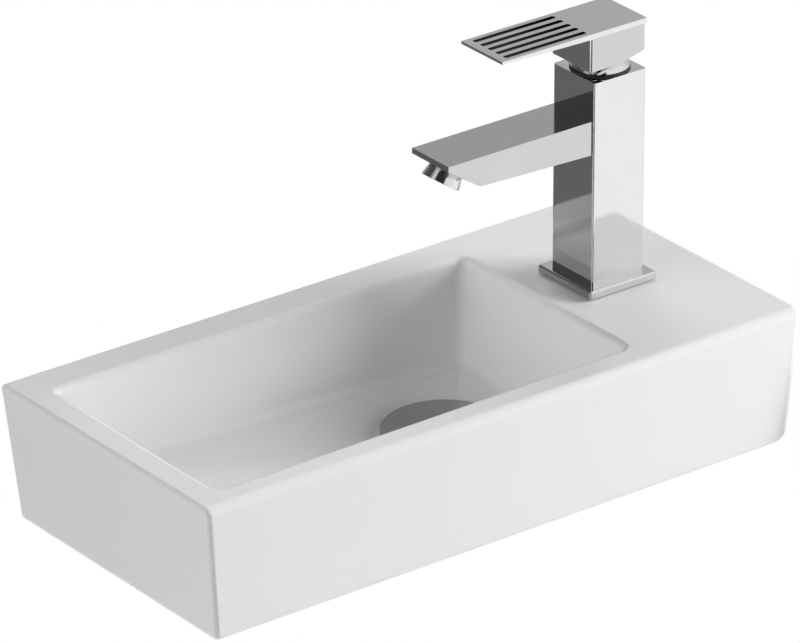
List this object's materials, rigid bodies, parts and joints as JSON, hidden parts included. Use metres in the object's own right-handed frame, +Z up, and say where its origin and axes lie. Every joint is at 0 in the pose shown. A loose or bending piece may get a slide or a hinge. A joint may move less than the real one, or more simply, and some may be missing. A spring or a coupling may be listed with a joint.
{
  "type": "washbasin",
  "caption": "Small rectangular wall-hung washbasin with a sloping bowl, a side deck that carries a square single lever mixer with a slotted lever, and a push plug over the waste.",
  "frame": {"origin": "on the wall face, midway between the two wall bolt holes", "axes": "+X along the wall to the right, +Y into the wall, +Z up; the bowl opens upwards and its user stands on the -Y side"},
  "size_m": [0.37, 0.172, 0.2605],
  "materials": {
    "ceramic_glaze": "white gloss glaze",
    "chrome": "polished",
    "brass": "turned",
    "steel": "zinc plated",
    "rubber": "matt black",
    "white_plastic": "moulded",
    "blue_plastic": "moulded",
    "disc_ceramic": "lapped",
    "red_plastic": "moulded"
  },
  "bodies": {
    "fixed": {"basin": "ceramic_glaze", "base_gasket": "rubber", "base_plate": "chrome", "tap_column": "chrome", "spout": "chrome", "aerator_washer": "rubber", "aerator_insert": "white_plastic", "aerator_housing": "chrome", "port_seals": "rubber", "cartridge_base": "blue_plastic", "fixed_disc": "disc_ceramic", "cartridge_body": "white_plastic", "cartridge_nut": "brass", "dome_ring": "rubber", "dome_cover": "chrome", "mounting_stud": "steel", "stud_rubber": "rubber", "stud_plate": "steel", "stud_nut": "brass", "waste_body": "chrome", "top_seal": "rubber", "lower_seal": "rubber", "slip_washer": "white_plastic", "back_nut": "brass", "click_housing": "brass", "plug_spring": "steel"},
    "swivel": {"stem_guide": "white_plastic", "pivot_pin": "steel"},
    "lever": {"stem": "brass", "handle": "chrome", "grub_screw": "steel", "indicator_plug": "red_plastic"},
    "valve_disc": {"moving_disc": "disc_ceramic", "disc_carrier": "blue_plastic"},
    "plug": {"plug_stem": "brass", "plug_cap": "chrome", "plug_seal": "rubber"}
  },
  "joints": [
    {"name": "handle_turn", "type": "hinge", "parent": "fixed", "child": "swivel", "pos_m": [0.1257, -0.0813, 0.1645], "axis": [0, 0, 1], "range_deg": [-45, 45]},
    {"name": "handle_lift", "type": "hinge", "parent": "swivel", "child": "lever", "pos_m": [0.1257, -0.0813, 0.1645], "axis": [0, 1, 0], "range_deg": [0, 22]},
    {"name": "disc_slide", "type": "slide", "parent": "swivel", "child": "valve_disc", "axis": [-1, 0, 0], "range_m": [0, 0.0032]},
    {"name": "plug_slide", "type": "slide", "parent": "fixed", "child": "plug", "axis": [0, 0, 1], "range_m": [0, 0.007], "deforming": ["plug_spring"]}
  ],
  "couplings": [
    {"joint": "disc_slide", "follows": "handle_lift", "m_per_rad": 0.008}
  ]
}
